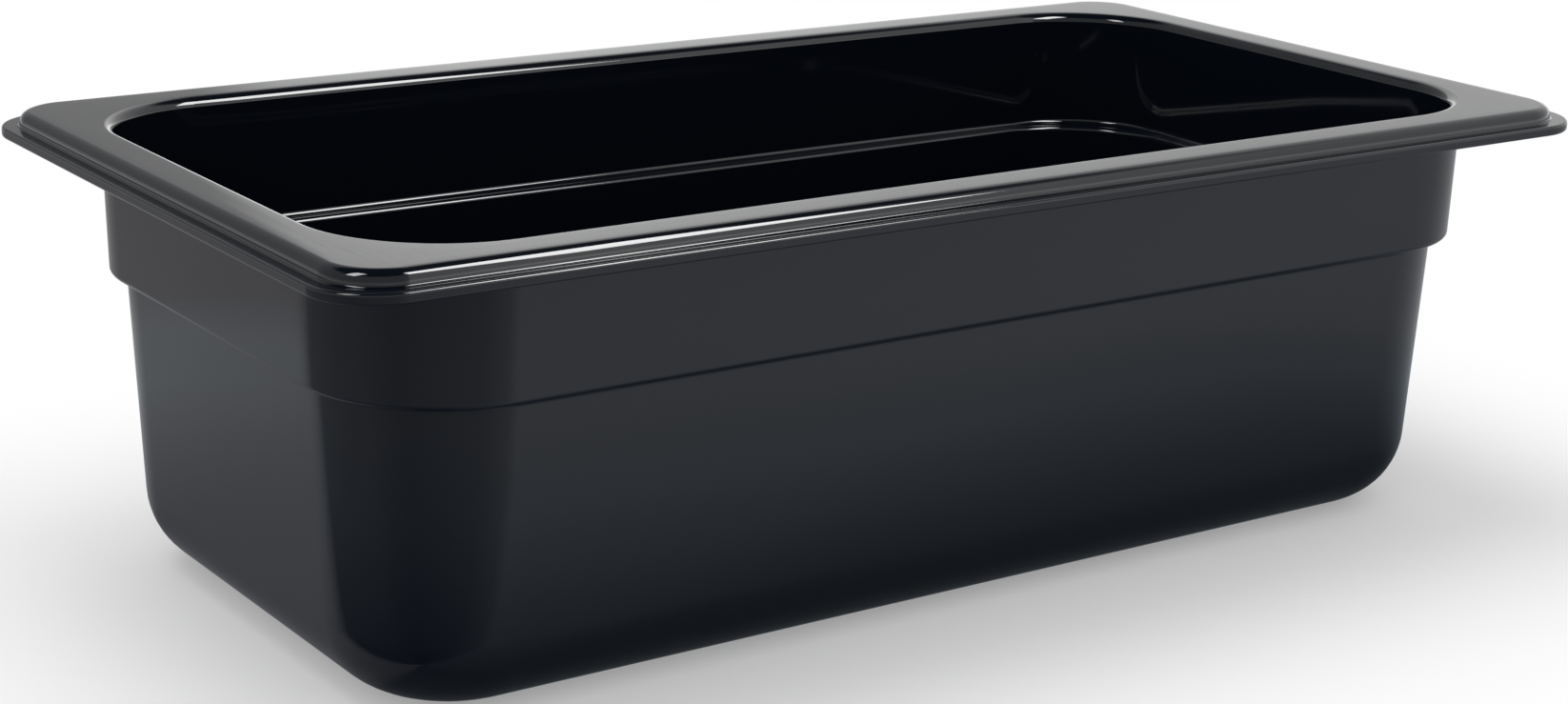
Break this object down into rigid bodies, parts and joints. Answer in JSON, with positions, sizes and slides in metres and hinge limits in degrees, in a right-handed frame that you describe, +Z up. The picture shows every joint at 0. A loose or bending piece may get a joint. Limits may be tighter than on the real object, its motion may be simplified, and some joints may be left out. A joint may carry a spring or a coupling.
{
  "type": "deli food pan",
  "caption": "Deep rectangular food pan with rounded corners, a flat raised rim, a thin outer lip that hangs in a well, and a shoulder that a nested pan stops on.",
  "frame": {"origin": "middle of the pan's flat underside, where it stands", "axes": "+X along the long side, +Y along the short side, +Z up out of the mouth"},
  "size_m": [0.325, 0.176, 0.1],
  "materials": {
    "pan_polycarbonate": "glossy moulded polycarbonate, near black"
  },
  "bodies": {
    "root": {"food_pan": "pan_polycarbonate"}
  },
  "joints": []
}
